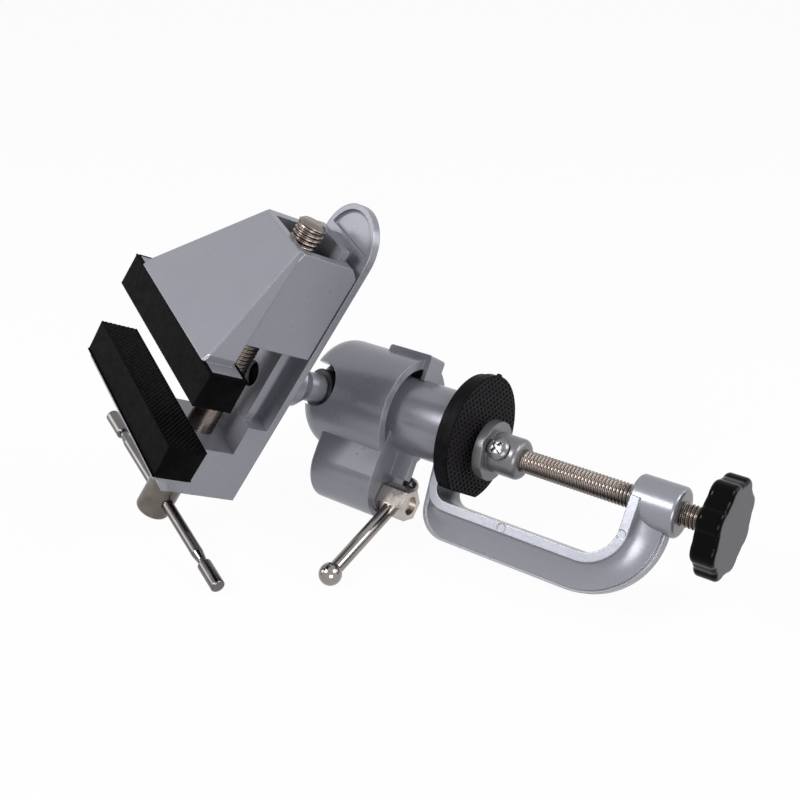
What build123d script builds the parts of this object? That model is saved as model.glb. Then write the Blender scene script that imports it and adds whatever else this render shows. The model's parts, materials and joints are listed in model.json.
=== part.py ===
from build123d import *
import os
from math import cos, radians, sin

# A small swivel vise on a bench clamp. Lengths in millimetres, angles in degrees.
# The origin is the middle of the bench pad's lower face, on the axis of the post.
# +Z runs up the post to the ball, and +X runs from the clamp's spine over the bench.

# Fits that several pieces share
overrun = 1.0
running_fit = 0.05
press_fit = 0.01
part_gap = 0.3

# Clamp frame
post_radius = 13.5
throat_height = 60.0
spine_inner_x = -24.6
spine_depth = 13.2
arm_top_at_spine = 11.0
arm_top_at_post = 15.2
lower_arm_depth = 12.6
throat_top_radius = 5.0
throat_bottom_radius = 11.0
back_top_radius = 11.0
back_bottom_radius = 26.0
web_width = 6.4
web_cove = 2.2
web_cove_slope = 45.0
inner_flange_width = 18.0
inner_flange_thickness = 3.2
rim_width = 4.4
rim_thickness = 1.0
boss_radius = 8.5
boss_rise = 1.0
boss_drop = 15.0
boss_edge_radius = 1.4
lug_thickness = 6.5
lug_end_radius = 11.2
lug_web_width = 3.0
lug_web_drop = 6.9
lug_web_reach = 9.2
mark_radius = 1.5
mark_depth = 0.25
mark_height = -21.8
low_mark_height = -61.1
low_mark_x = -15.2

# Bench pad
pad_radius = 22.4
pad_thickness = 5.9
pad_front_thickness = 3.1
pad_step = 0.7
pad_flat = 20.2
pad_peg_radius = 9.0
pad_peg_depth = 2.8
pad_pip_radius = 1.1
pad_pip_height = 0.8

# Clamp screw and foot
clamp_screw_x = -2.7
clamp_screw_radius = 4.0
foot_opening = 3.3
foot_flange_radius = 10.5
foot_flange_thickness = 3.5
foot_height = 14.7
foot_boss_radius = 7.2
foot_end_radius = 2.2
foot_bore_depth = 10.4
spindle_radius = 3.6
spindle_groove_radius = 2.2
foot_screw_drop = 10.5
foot_screw_azimuth = -82.0
foot_screw_tip_radius = 1.4
foot_screw_head_radius = 4.0
foot_screw_head_height = 2.4
foot_screw_flat = 6.6

# Knob
knob_top = 8.8
knob_thickness = 8.1
knob_radius = 16.8
knob_valley_radius = 15.4
knob_lobe_radius = 5.2
knob_lobes = 8
knob_edge_radius = 1.6
insert_radius = 6.5
insert_length = 6.0

# Ball joint
ball_radius = 15.0
cup_drop = 8.0
cap_radius = 20.6
cap_rise = 16.2
cap_dome_radius = 27.0
cap_corner_radius = 8.5
cap_bore_radius = 17.2
cap_skirt = 26.0
cap_seat_drop = 2.0
cap_slot_half_width = 8.2
cap_slot_tilt = 76.5
lobe_centre_x = -25.0
lobe_radius = 13.5
lobe_wall = 1.8
lobe_rise = 0.8
lobe_roof = 9.8
lobe_edge_radius = 1.6
tab_half_width = 5.0
tab_outer_x = 22.3
tab_height = 18.3
tab_drop = 28.5
tab_edge_radius = 1.2
hook_thickness = 1.7
hook_notch_depth = 0.8
hook_gap_x = 15.3

# Lock screw and lever
lock_x = -30.5
lock_screw_radius = 3.0
lock_screw_length = 23.0
lock_head_flats = 10.4
lock_head_reach = 11.3
lock_head_clearance = 7.0
lug_drop = 25.7
lock_head_recess_radius = 3.4
lock_head_recess_depth = 1.4
lever_azimuth = -138.1
lever_drop = 31.0
lever_radius = 2.5
lever_tenon_radius = 1.8
lever_long_reach = 39.4
lever_short_reach = 8.7
lever_large_ball_radius = 4.0
lever_small_ball_radius = 3.0

# Head: the bed and its neck. The head's X runs along the lead screw away from the
# fixed jaw and its Z runs out of the ball along the neck.
head_azimuth = -96.0
head_tilt = 72.7
head_spin = 66.1
bed_lift = 37.6
neck_radius = 5.3
neck_root = 6.3
flare_start = 24.5
flare_end = 29.0
flare_radius = 8.3
flange_start = 33.0
flange_radius = 11.0
bed_half_width = 14.65
plate_thickness = 2.6
bed_front_x = -43.7
pedestal_back_x = -24.5
deck_front_x = -13.0
deck_end_x = 56.5
deck_top = 10.0
deck_half_width = 9.8
deck_flange = 3.0
stem_half_width = 4.9
base_top = 10.3
tail_centre_x = 54.4
tail_rim = 2.0
tail_floor = 1.2
tail_hollow_radius = 1.2
tail_gap = 1.0
pedestal_top = 29.4
gusset_top = 46.4
gusset_half_width = 24.0
floor_hole_radius = 4.65
floor_hole_depth = 5.0
ball_screw_radius = 2.5
ball_screw_head_radius = 4.2
ball_screw_head_height = 2.9
ball_screw_depth = 4.0

# Jaws and their rubber caps
jaw_half_width = 35.4
cap_low = 35.9
cap_high = 49.9
cap_wall = 1.5
fixed_grip_x = -12.0
moving_grip_x = 3.5
cap_depth = 12.3
cap_edge_radius = 0.5
jaw_ridge_radius = 0.8
jaw_front_x = 17.5
jaw_back_x = 53.0
jaw_wall_bottom = 3.3
jaw_wall = 3.5
jaw_bar_back_x = 18.2
jaw_bar_half_width = 28.4
jaw_bar_bottom = 38.8
jaw_tail_top = 27.6
jaw_tail_bottom = 25.8
jaw_tail_half_width = 13.3
jaw_roof = 3.0
jaw_front_wall = 4.5
jaw_chamfer = 3.0
nut_radius = 6.8
nut_flange_radius = 7.7
nut_flange = 2.0
nut_length = 12.0
nut_housing_wall = 3.0

# Lead screw and its T-bar
lead_height = 18.0
lead_radius = 5.0
lead_end_x = 58.7
lead_head_radius = 6.2
lead_head_end_x = -63.4
lead_head_round = 1.6
lead_socket_depth = 6.0
lead_tip_chamfer = 1.0
thrust_pin_radius = 1.2
thrust_pin_x = -34.0
thrust_groove_radius = 3.9
thrust_pin_cover = 2.0
t_bar_x = -55.6
t_bar_turn = 5.2
t_bar_shift = 1.1
t_bar_radius = 2.1
t_bar_tenon_radius = 1.3
t_bar_neck_radius = 1.6
t_bar_neck_length = 1.6
t_bar_taper_length = 3.5
t_bar_half_length = 46.6
t_bar_cap_length = 11.5
t_bar_cap_radius = 2.5
t_bar_cap_round = 0.7

# Heights of the ball and of what follows it. The ball stands as high as the lock screw's head
# needs over the frame's arm.
ball_height = arm_top_at_spine + lock_head_clearance + lock_head_reach + lug_drop
post_top = ball_height - cup_drop
cap_bottom = ball_height - cap_skirt
lobe_top = ball_height + lobe_rise
lobe_cavity_top = lobe_top - lobe_roof
tab_bottom = ball_height - tab_drop
tab_top = tab_bottom + tab_height
lug_bottom = ball_height - lug_drop
lock_head_bottom = lug_bottom - lock_head_reach
lever_height = ball_height - lever_drop

head_place = (Pos(0, 0, ball_height) * Rot(0, 0, head_azimuth)
              * Rot(0, head_tilt, 0) * Rot(0, 0, head_spin))


def column(radius, low, high, x=0.0, y=0.0):
    """A cylinder along Z between two heights."""
    return Pos(x, y, low) * Cylinder(radius, high - low, align=(Align.CENTER, Align.CENTER, Align.MIN))


def block(x, y, z):
    """A box from its limits along X, Y and Z."""
    size = (x[1] - x[0], y[1] - y[0], z[1] - z[0])
    return Pos(x[0], y[0], z[0]) * Box(*size, align=(Align.MIN, Align.MIN, Align.MIN))


def bar(radius, start, direction, length):
    """A cylinder from a point along a direction."""
    place = Plane(origin=start, z_dir=direction).location
    return place * Cylinder(radius, length, align=(Align.CENTER, Align.CENTER, Align.MIN))


def profile_xz(points, half_width):
    """A polygon in the XZ plane, extruded to both sides along Y."""
    outline = Polyline(*[(x, 0, z) for x, z in points], close=True)
    return extrude(make_face(outline), amount=half_width, dir=(0, 1, 0), both=True)


def plan_xy(points, low, high):
    """A polygon in plan, extruded between two heights."""
    outline = Polyline(*[(x, y, low) for x, y in points], close=True)
    return extrude(make_face(outline), amount=high - low, dir=(0, 0, 1))


def rounded_c(points, corner_radii, half_width):
    """An open outline with rounded corners, closed by a straight line and extruded along Y."""
    return extrude(rounded_face(points, corner_radii), amount=half_width, dir=(0, 1, 0), both=True)


def rounded_face(points, corner_radii):
    """The face inside an open outline with rounded corners and the line that closes it."""
    corners = [(x, 0, z) for x, z in points]
    path = FilletPolyline(*corners, radius=corner_radii)
    closing = Line(corners[-1], corners[0])
    return make_face(path.edges() + closing.edges())


def back_region(inset, half_width):
    """All that lies inside the clamp frame's back outline, moved in by an inset."""
    back_x = spine_inner_x - spine_depth + inset
    points = [(0, arm_top_at_post - inset), (back_x, arm_top_at_spine - inset),
              (back_x, -throat_height - lower_arm_depth + inset),
              (clamp_screw_x, -throat_height - lower_arm_depth + inset)]
    return rounded_c(points, [back_top_radius - inset, back_bottom_radius - inset], half_width)


def throat_outline(outset):
    """Corners and corner radii of the clamp's throat, moved out by an outset."""
    front_x = spine_inner_x - outset
    points = [(overrun, pad_thickness + outset), (front_x, pad_thickness + outset),
              (front_x, -throat_height - outset), (overrun, -throat_height - outset)]
    return points, [throat_top_radius + outset, throat_bottom_radius + outset]


def throat_region(outset, half_width):
    """The clamp's throat, moved out by an outset."""
    return rounded_c(*throat_outline(outset), half_width)


def throat_cove():
    """Sloping root on both sides of the web, from the web out to the throat's flange."""
    face = rounded_face(*throat_outline(inner_flange_thickness + web_cove))
    side = Pos(0, web_width / 2, 0) * extrude(face, amount=web_cove, dir=(0, 1, 0), taper=web_cove_slope)
    return side + mirror(side, about=Plane.XZ)


def clamp_section():
    """The C of the frame: a web with a thin rim round its back and a flange round the throat."""
    widest = inner_flange_width
    flange = throat_region(inner_flange_thickness, inner_flange_width / 2) & back_region(0, widest)
    section = back_region(0, rim_width / 2) + back_region(rim_thickness, web_width / 2) + flange
    section += throat_cove() & back_region(rim_thickness, widest)
    return section - throat_region(0, widest)


def clamp_frame():
    """C-shaped frame with the post, the screw boss and the lock lug, in one casting."""
    frame = clamp_section()

    # Round marks of the mould's pins on the flange
    side = inner_flange_width / 2
    flange_middle = spine_inner_x - inner_flange_thickness / 2
    for x, z in ((flange_middle, mark_height), (low_mark_x, low_mark_height)):
        for face_y in (-side, side - mark_depth):
            frame -= bar(mark_radius, (x, face_y, z), (0, 1, 0), mark_depth)

    # Screw boss on the lower arm
    boss_top = -throat_height + boss_rise
    boss_bottom = -throat_height - boss_drop
    boss = column(boss_radius, boss_bottom, boss_top, clamp_screw_x)
    boss = fillet(boss.edges(), boss_edge_radius)
    frame += boss

    # Post with the peg that holds the pad and the cup that carries the ball
    frame -= column(post_radius, pad_thickness, arm_top_at_post)
    frame += column(post_radius, pad_thickness, post_top)
    frame += column(pad_peg_radius, pad_thickness - pad_peg_depth, pad_thickness)

    # Lug that the lock screw's head bears on
    lug_top = lug_bottom + lug_thickness
    lug = column(lug_end_radius, lug_bottom, lug_top, lobe_centre_x)
    lug += block((lobe_centre_x, 0), (-lug_end_radius, lug_end_radius), (lug_bottom, lug_top))
    web_x = -post_radius - lug_web_reach
    lug += block((web_x, 0), (-lug_web_width / 2, lug_web_width / 2), (lug_bottom - lug_web_drop, lug_top))
    lug -= column(lock_screw_radius + part_gap, lug_bottom - overrun, lug_top + overrun, lock_x)
    frame += lug

    # Ball cup, threaded hole and the notch for the cap's hook
    frame -= Pos(0, 0, ball_height) * Sphere(ball_radius + running_fit)
    frame -= column(clamp_screw_radius + running_fit, boss_bottom - overrun, boss_top + overrun,
                    clamp_screw_x)
    notch_gap = 2 * running_fit
    frame -= block((post_radius - hook_notch_depth, post_radius + overrun),
                   (-tab_half_width - notch_gap, tab_half_width + notch_gap),
                   (tab_bottom - notch_gap, tab_bottom + hook_thickness + notch_gap))
    return frame


def bench_pad():
    """Rubber disc with a stepped rim and a flat edge beside the spine."""
    pad = column(pad_radius, 0, pad_front_thickness)
    pad += column(pad_radius - pad_step, pad_front_thickness, pad_thickness)
    pad += bar(pad_pip_radius, (pad_radius - pad_pip_height, 0, pad_front_thickness / 2), (1, 0, 0),
               2 * pad_pip_height)
    pad -= block((-pad_radius - overrun, -pad_flat), (-pad_radius, pad_radius),
                 (-overrun, pad_thickness + overrun))
    pad -= column(pad_peg_radius + press_fit, pad_thickness - pad_peg_depth - press_fit,
                  pad_thickness + overrun)
    return pad


def foot_screw_direction():
    """Unit vector from the clamp screw's axis out through the foot screw."""
    return (cos(radians(foot_screw_azimuth)), sin(radians(foot_screw_azimuth)), 0)


def foot_point(distance):
    """A point on the foot screw's axis at a distance from the clamp screw's axis."""
    dx, dy, dz = foot_screw_direction()
    return (clamp_screw_x + distance * dx, distance * dy, -foot_screw_drop)


def clamp_foot():
    """Pressure foot with a flange for the bench and a boss round the spindle's end."""
    top = -foot_opening
    bottom = top - foot_height
    boss = column(foot_boss_radius, bottom, top, clamp_screw_x)
    boss = fillet(boss.edges().group_by(Axis.Z)[0], foot_end_radius)
    foot = boss + column(foot_flange_radius, top - foot_flange_thickness, top, clamp_screw_x)
    foot -= column(spindle_radius + running_fit, bottom - overrun, bottom + foot_bore_depth, clamp_screw_x)
    foot -= bar(foot_screw_head_radius + part_gap, foot_point(foot_screw_flat), foot_screw_direction(),
                foot_boss_radius)
    foot -= bar(foot_screw_tip_radius + press_fit, foot_point(0), foot_screw_direction(), foot_boss_radius)
    return foot


def foot_screw():
    """Pan-head screw whose tip runs in the spindle's groove."""
    tip_start = spindle_groove_radius + 4 * running_fit
    outward = foot_screw_direction()
    screw = bar(foot_screw_tip_radius, foot_point(tip_start), outward, foot_screw_flat - tip_start)
    head = bar(foot_screw_head_radius, foot_point(foot_screw_flat), outward, foot_screw_head_height)
    outer_edge = head.edges().sort_by(Axis.Y)[0]
    return screw + fillet(outer_edge, foot_screw_head_height / 2)


def clamp_screw():
    """Threaded spindle with a grooved end that turns in the foot."""
    foot_bottom = -foot_opening - foot_height
    knob_back = -throat_height - boss_drop - knob_top
    screw = column(clamp_screw_radius, knob_back - insert_length, foot_bottom - part_gap, clamp_screw_x)
    tip = column(spindle_radius, foot_bottom - part_gap, foot_bottom + foot_bore_depth - part_gap,
                 clamp_screw_x)
    tip = chamfer(tip.edges().group_by(Axis.Z)[-1], part_gap)
    screw += tip
    half = foot_screw_tip_radius + 2 * running_fit
    ring = column(clamp_screw_radius, -foot_screw_drop - half, -foot_screw_drop + half, clamp_screw_x)
    ring -= column(spindle_groove_radius, -foot_screw_drop - overrun - half,
                   -foot_screw_drop + overrun + half, clamp_screw_x)
    return screw - ring


def knob():
    """Round knob with lobes, moulded over its insert."""
    back = -throat_height - boss_drop - knob_top
    lobes = PolarLocations(knob_radius - knob_lobe_radius, knob_lobes) * Circle(knob_lobe_radius)
    outline = Circle(knob_valley_radius) + lobes
    outline = fillet(outline.vertices(), knob_edge_radius)
    face = Pos(clamp_screw_x, 0, back - knob_thickness) * outline
    body = extrude(face, amount=knob_thickness, dir=(0, 0, 1))
    body = fillet(body.edges().group_by(Axis.Z)[-1] + body.edges().group_by(Axis.Z)[0], knob_edge_radius)
    return body - column(insert_radius + press_fit, back - insert_length, back + overrun, clamp_screw_x)


def knob_insert():
    """Metal bush that fixes the knob to the screw."""
    back = -throat_height - boss_drop - knob_top
    bush = column(insert_radius, back - insert_length, back, clamp_screw_x)
    return bush - column(clamp_screw_radius + press_fit, back - insert_length - overrun, back + overrun,
                         clamp_screw_x)


def neck_slot():
    """The space that the neck sweeps from upright to full tilt, in the plane of -Y and Z."""
    reach = 2 * cap_radius
    tilt = radians(cap_slot_tilt)
    low = (0, -sin(tilt), cos(tilt))
    low_end = (0, -reach * sin(tilt), reach * cos(tilt))
    corner = (0, -reach, reach)
    sector = make_face(Polyline((0, 0, 0), (0, 0, reach), corner, low_end, close=True))
    slot = extrude(sector, amount=cap_slot_half_width, dir=(1, 0, 0), both=True)
    slot += bar(cap_slot_half_width, (0, 0, 0), (0, 0, 1), reach)
    slot += bar(cap_slot_half_width, (0, 0, 0), low, reach)
    return Pos(0, 0, ball_height) * slot


def domed_collar():
    """Solid of the cap's collar: a cylinder with a shallow dome and a large corner radius."""
    cap_top = ball_height + cap_rise
    edge_height = cap_top - cap_dome_radius + (cap_dome_radius ** 2 - cap_radius ** 2) ** 0.5
    middle = cap_radius / 2
    middle_height = cap_top - cap_dome_radius + (cap_dome_radius ** 2 - middle ** 2) ** 0.5
    sides = Polyline((0, 0, cap_top), (0, 0, cap_bottom), (cap_radius, 0, cap_bottom),
                     (cap_radius, 0, edge_height))
    dome = ThreePointArc((cap_radius, 0, edge_height), (middle, 0, middle_height), (0, 0, cap_top))
    face = make_face(sides.edges() + dome.edges())
    corner = face.vertices().sort_by_distance((cap_radius, 0, edge_height))[0]
    return revolve(fillet(corner, cap_corner_radius), Axis.Z)


def ball_cap():
    """Domed collar that holds the ball down, with a lobe for the lock screw and a hooked tab."""
    collar = domed_collar()

    # Lobe over the frame's lug, hollow under its threaded top
    lobe = column(lobe_radius, cap_bottom, lobe_top, lobe_centre_x)
    lobe += block((lobe_centre_x, 0), (-lobe_radius, lobe_radius), (cap_bottom, lobe_top))
    lobe = fillet(lobe.edges().group_by(Axis.Z)[-1], lobe_edge_radius)
    cap = collar + lobe

    # Tab outside the collar and the hook at its end
    tab = block((hook_gap_x, tab_outer_x), (-tab_half_width, tab_half_width), (tab_bottom, tab_top))
    tab = fillet(tab.edges().filter_by(Axis.Y).group_by(Axis.X)[-1], tab_edge_radius)
    cap += tab

    # Bore over the post, seat on the ball, lobe cavity and thread
    seat_height = ball_height - cap_seat_drop
    bore = column(cap_bore_radius, tab_bottom - overrun, seat_height)
    bore += Pos(0, 0, ball_height) * Sphere(ball_radius + running_fit)
    hollow = column(lobe_radius - lobe_wall, tab_bottom - overrun, lobe_cavity_top, lobe_centre_x)
    hollow += block((lobe_centre_x, 0), (lobe_wall - lobe_radius, lobe_radius - lobe_wall),
                    (tab_bottom - overrun, lobe_cavity_top))
    cap -= bore + hollow
    cap -= column(lock_screw_radius + running_fit, lobe_cavity_top - overrun, cap_bottom + lock_screw_length,
                  lock_x)
    cap -= neck_slot()

    # Hook tip under the collar, reaching into the post's notch
    tip_x = post_radius - hook_notch_depth + 2 * running_fit
    cap += block((tip_x, tab_outer_x - tab_edge_radius), (-tab_half_width, tab_half_width),
                 (tab_bottom, tab_bottom + hook_thickness))
    return cap


def lock_screw():
    """Hex-head screw with a cross hole for its lever and a recess in the end of its head."""
    head_top = lug_bottom - part_gap
    height = head_top - lock_head_bottom
    hexagon = RegularPolygon(lock_head_flats / 2, 6, major_radius=False, rotation=lever_azimuth)
    flat_turn = 360 / 12
    place = Pos(lock_x, 0, lock_head_bottom) * Rot(0, 0, flat_turn)
    screw = extrude(place * hexagon, amount=height, dir=(0, 0, 1))
    screw += column(lock_screw_radius, head_top, cap_bottom + lock_screw_length - part_gap, lock_x)
    screw -= column(lock_head_recess_radius, lock_head_bottom - overrun,
                    lock_head_bottom + lock_head_recess_depth, lock_x)
    reach = lock_head_flats
    return screw - bar(lever_radius + running_fit, lever_point(-reach), lever_direction(), 2 * reach)


def lever_direction():
    """Unit vector from the lock screw's axis to the large ball."""
    return (cos(radians(lever_azimuth)), sin(radians(lever_azimuth)), 0)


def lever_point(distance):
    """A point on the lever's axis at a distance from the lock screw's axis."""
    dx, dy, dz = lever_direction()
    return (lock_x + distance * dx, distance * dy, lever_height)


def lock_lever():
    """Round rod with a tenon at each end for its balls."""
    shoulder_long = lever_long_reach - ball_shoulder(lever_large_ball_radius)
    shoulder_short = lever_short_reach - ball_shoulder(lever_small_ball_radius)
    rod = bar(lever_radius, lever_point(-shoulder_short), lever_direction(), shoulder_long + shoulder_short)
    rod += bar(lever_tenon_radius, lever_point(-lever_short_reach), lever_direction(),
               lever_short_reach + lever_long_reach)
    return rod


def ball_shoulder(radius):
    """Distance from a ball's centre to the flat where the rod's shoulder seats."""
    return (radius ** 2 - lever_radius ** 2) ** 0.5


def lever_ball(radius, distance):
    """Ball with a flat and a hole for the rod's tenon."""
    inward = lever_direction() if distance < 0 else tuple(-part for part in lever_direction())
    ball = Pos(*lever_point(distance)) * Sphere(radius)
    ball -= bar(lever_tenon_radius + press_fit, lever_point(distance), inward, radius + overrun)
    sign = 1 if distance < 0 else -1
    seat = lever_point(distance + sign * ball_shoulder(radius))
    return ball - bar(radius, seat, inward, radius + overrun)


def swivel_ball():
    """Ball with a socket for the head's neck and a threaded hole for the ball screw."""
    ball = Sphere(ball_radius)
    ball -= column(neck_radius + running_fit, neck_root - part_gap, ball_radius + overrun)
    ball -= column(ball_screw_radius + press_fit, -ball_screw_depth - part_gap, ball_radius)
    return head_place * ball


def ball_screw():
    """Screw from the deck down the neck into the ball."""
    head_low = bed_lift + deck_top - floor_hole_depth
    screw = column(ball_screw_radius, -ball_screw_depth, head_low + running_fit)
    head = column(ball_screw_head_radius, head_low + running_fit, head_low + ball_screw_head_height)
    return head_place * (screw + head)


def neck():
    """Neck with its flare and the step under the bed, as one turned form."""
    outline = Polyline((0, 0, neck_root), (neck_radius, 0, neck_root), (neck_radius, 0, flare_start),
                       (flare_radius, 0, flare_end), (flare_radius, 0, flange_start),
                       (flange_radius, 0, bed_lift), (0, 0, bed_lift), close=True)
    return revolve(make_face(outline), Axis.Z)


def gusset():
    """Wedge from the pedestal up to the fixed jaw's crossbar, wider towards the jaw."""
    low = bed_lift + pedestal_top
    high = bed_lift + gusset_top
    wedge = profile_xz([(bed_front_x, low - plate_thickness), (bed_front_x, low), (pedestal_back_x, high),
                        (pedestal_back_x, low - plate_thickness)], gusset_half_width)
    plan = plan_xy([(bed_front_x, -bed_half_width), (pedestal_back_x, -gusset_half_width),
                    (pedestal_back_x, gusset_half_width), (bed_front_x, bed_half_width)],
                   low - overrun - plate_thickness, high + overrun)
    spread = gusset_half_width - bed_half_width
    right = [(0, gusset_half_width, high), (0, gusset_half_width, low + spread),
             (0, bed_half_width, low - plate_thickness)]
    left = [(x, -y, z) for x, y, z in reversed(right)]
    side = Pos(bed_front_x - overrun, 0, 0) * make_face(Polyline(*right, *left, close=True))
    front = extrude(side, amount=pedestal_back_x - bed_front_x + 2 * overrun, dir=(1, 0, 0))
    return wedge & plan & front


def vise_bed():
    """Bed casting: plate with a round tail, T-shaped rail, pedestal, gusset, crossbar and neck."""
    low = bed_lift
    plate_top = low + plate_thickness
    width = (-bed_half_width, bed_half_width)
    bed = block((bed_front_x, tail_centre_x), width, (low, plate_top))
    bed += column(bed_half_width, low, plate_top, tail_centre_x)

    # Dished tail inside its rim
    dish = column(bed_half_width - tail_rim, low + tail_floor, plate_top + overrun, tail_centre_x)
    dish = fillet(dish.edges().group_by(Axis.Z)[0], tail_hollow_radius)
    bed -= dish & block((deck_end_x + tail_gap, tail_centre_x + bed_half_width), width,
                        (low, plate_top + 2 * overrun))

    # Base beside the pedestal, then the rail's stem and flange
    bed += block((bed_front_x, deck_front_x), width, (low, low + base_top))
    bed += block((deck_front_x, deck_end_x), (-stem_half_width, stem_half_width), (low, low + deck_top))
    bed += block((deck_front_x, deck_end_x), (-deck_half_width, deck_half_width),
                 (low + deck_top - deck_flange, low + deck_top))

    # Pedestal, gusset and the crossbar inside the fixed jaw's cap
    bed += block((bed_front_x, pedestal_back_x), width, (low, low + pedestal_top))
    bed += gusset()
    bar_end_x = fixed_grip_x - cap_wall - press_fit
    bar_half = jaw_half_width - cap_wall - press_fit
    bar_low = low + cap_low + cap_wall + press_fit
    bar_high = low + cap_high - cap_wall - press_fit
    bed += block((pedestal_back_x - cap_wall, bar_end_x), (-bar_half, bar_half), (bar_low, bar_high))
    bed += neck()

    # Bores for the lead screw, its thrust pin and the ball screw
    axis = low + lead_height
    bed -= bar(lead_radius + running_fit, (bed_front_x - overrun, 0, axis), (1, 0, 0),
               pedestal_back_x - bed_front_x + 2 * overrun)
    bed -= column(thrust_pin_radius + press_fit, low - overrun, axis + lead_radius + thrust_pin_cover,
                  thrust_pin_x, thrust_pin_y())
    bed -= column(floor_hole_radius, low + deck_top - floor_hole_depth, low + deck_top + overrun)
    bed -= column(ball_screw_radius + running_fit, 0, low + deck_top)
    return head_place * bed


def thrust_pin_y():
    """Sideways place of the thrust pin, which touches the bottom of the screw's groove."""
    return thrust_groove_radius + thrust_pin_radius + running_fit


def thrust_pin():
    """Pin across the pedestal that runs in the lead screw's groove."""
    top = bed_lift + lead_height + lead_radius + thrust_pin_cover - part_gap
    pin = column(thrust_pin_radius, bed_lift, top, thrust_pin_x, thrust_pin_y())
    return head_place * pin


def jaw_cap(grip_x, away):
    """Rubber sleeve over a jaw's crossbar, closed on its gripping face; away is -1 or 1."""
    def limits(near, far):
        return (near, far) if away > 0 else (far, near)
    back_x = grip_x + away * cap_depth
    outer = block(limits(grip_x, back_x), (-jaw_half_width, jaw_half_width),
                  (bed_lift + cap_low, bed_lift + cap_high))
    outer = fillet(outer.edges(), cap_edge_radius)
    inner_half = jaw_half_width - cap_wall
    inner = block(limits(grip_x + away * cap_wall, back_x + away * overrun), (-inner_half, inner_half),
                  (bed_lift + cap_low + cap_wall, bed_lift + cap_high - cap_wall))
    return head_place * (outer - inner)


def jaw_outline():
    """Wedge-shaped top of the movable jaw with its crossbar, before it is hollowed."""
    low = bed_lift
    bar_front_x = moving_grip_x + cap_wall + press_fit
    cap_back_x = moving_grip_x + cap_depth
    bar_low = low + cap_low + cap_wall + press_fit
    bar_high = low + cap_high - cap_wall - press_fit
    bar_half = jaw_half_width - cap_wall - press_fit
    core = block((bar_front_x, cap_back_x), (-bar_half, bar_half), (bar_low, bar_high))
    core += block((cap_back_x, jaw_bar_back_x), (-jaw_bar_half_width, jaw_bar_half_width),
                  (low + jaw_bar_bottom, bar_high))
    wedge = profile_xz([(cap_back_x, low + jaw_bar_bottom), (cap_back_x, low + cap_high),
                        (jaw_back_x, low + jaw_tail_top), (jaw_back_x, low + jaw_tail_bottom),
                        (jaw_bar_back_x, low + jaw_bar_bottom)], jaw_half_width)
    plan = plan_xy([(cap_back_x, -jaw_bar_half_width), (jaw_bar_back_x, -jaw_bar_half_width),
                    (jaw_back_x, -jaw_tail_half_width), (jaw_back_x, jaw_tail_half_width),
                    (jaw_bar_back_x, jaw_bar_half_width), (cap_back_x, jaw_bar_half_width)],
                   low, low + cap_high + overrun)
    wedge &= plan
    roof = sorted(wedge.faces(), key=lambda face: face.normal_at().Z)[-1]
    ridges = [edge for edge in roof.edges() if edge.center().X > cap_back_x + part_gap]
    return core + fillet(ridges, jaw_ridge_radius)


def movable_jaw():
    """Hollow jaw with walls that grip the rail's flange, open at its back and underneath."""
    low = bed_lift
    roof_slope = (cap_high - jaw_tail_top) / (jaw_back_x - moving_grip_x - cap_depth)
    inner_x = jaw_front_x + jaw_front_wall
    roof_front = low + cap_high - jaw_roof - (inner_x - moving_grip_x - cap_depth) * roof_slope
    roof_back = low + jaw_tail_top - jaw_roof - overrun * roof_slope
    box = profile_xz([(jaw_front_x, low + jaw_wall_bottom), (jaw_front_x, low + jaw_bar_bottom),
                      (jaw_bar_back_x, low + jaw_bar_bottom), (jaw_back_x, low + jaw_tail_bottom),
                      (jaw_back_x, low + jaw_wall_bottom + jaw_chamfer),
                      (jaw_back_x - jaw_chamfer, low + jaw_wall_bottom)], bed_half_width)
    jaw = jaw_outline() + box

    # Hollow behind the front wall, under the sloping roof
    inner_half = bed_half_width - jaw_wall
    rail_top = low + deck_top + running_fit
    jaw -= profile_xz([(inner_x, rail_top), (inner_x, roof_front), (jaw_back_x + overrun, roof_back),
                       (jaw_back_x + overrun, rail_top)], inner_half)

    # Housing round the nut
    axis = low + lead_height
    housing_end = jaw_front_x + nut_flange + nut_length + nut_housing_wall
    housing = bar(nut_radius + nut_housing_wall, (jaw_front_x, 0, axis), (1, 0, 0), housing_end - jaw_front_x)
    housing &= block((jaw_front_x, housing_end), (-inner_half, inner_half), (rail_top, low + cap_high))
    jaw += housing
    jaw -= bar(nut_radius + press_fit, (jaw_front_x - overrun, 0, axis), (1, 0, 0), overrun + nut_length)
    jaw -= bar(nut_flange_radius + press_fit, (jaw_front_x - overrun, 0, axis), (1, 0, 0),
               overrun + nut_flange)
    jaw -= bar(lead_radius + part_gap, (jaw_front_x, 0, axis), (1, 0, 0), housing_end + overrun - jaw_front_x)

    # Groove for the rail's flange and slot for its stem
    length = (jaw_front_x - overrun, jaw_back_x + overrun)
    flange_half = deck_half_width + running_fit
    jaw -= block(length, (-flange_half, flange_half), (low + deck_top - deck_flange - running_fit, rail_top))
    stem_half = stem_half_width + part_gap
    jaw -= block(length, (-stem_half, stem_half), (low + jaw_wall_bottom - overrun, rail_top))
    return head_place * jaw


def jaw_nut():
    """Flanged nut pressed into the movable jaw."""
    axis = bed_lift + lead_height
    nut = bar(nut_radius, (jaw_front_x, 0, axis), (1, 0, 0), nut_length)
    nut += bar(nut_flange_radius, (jaw_front_x, 0, axis), (1, 0, 0), nut_flange)
    nut -= bar(lead_radius + running_fit, (jaw_front_x - overrun, 0, axis), (1, 0, 0),
               nut_length + 2 * overrun)
    return head_place * nut


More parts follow.
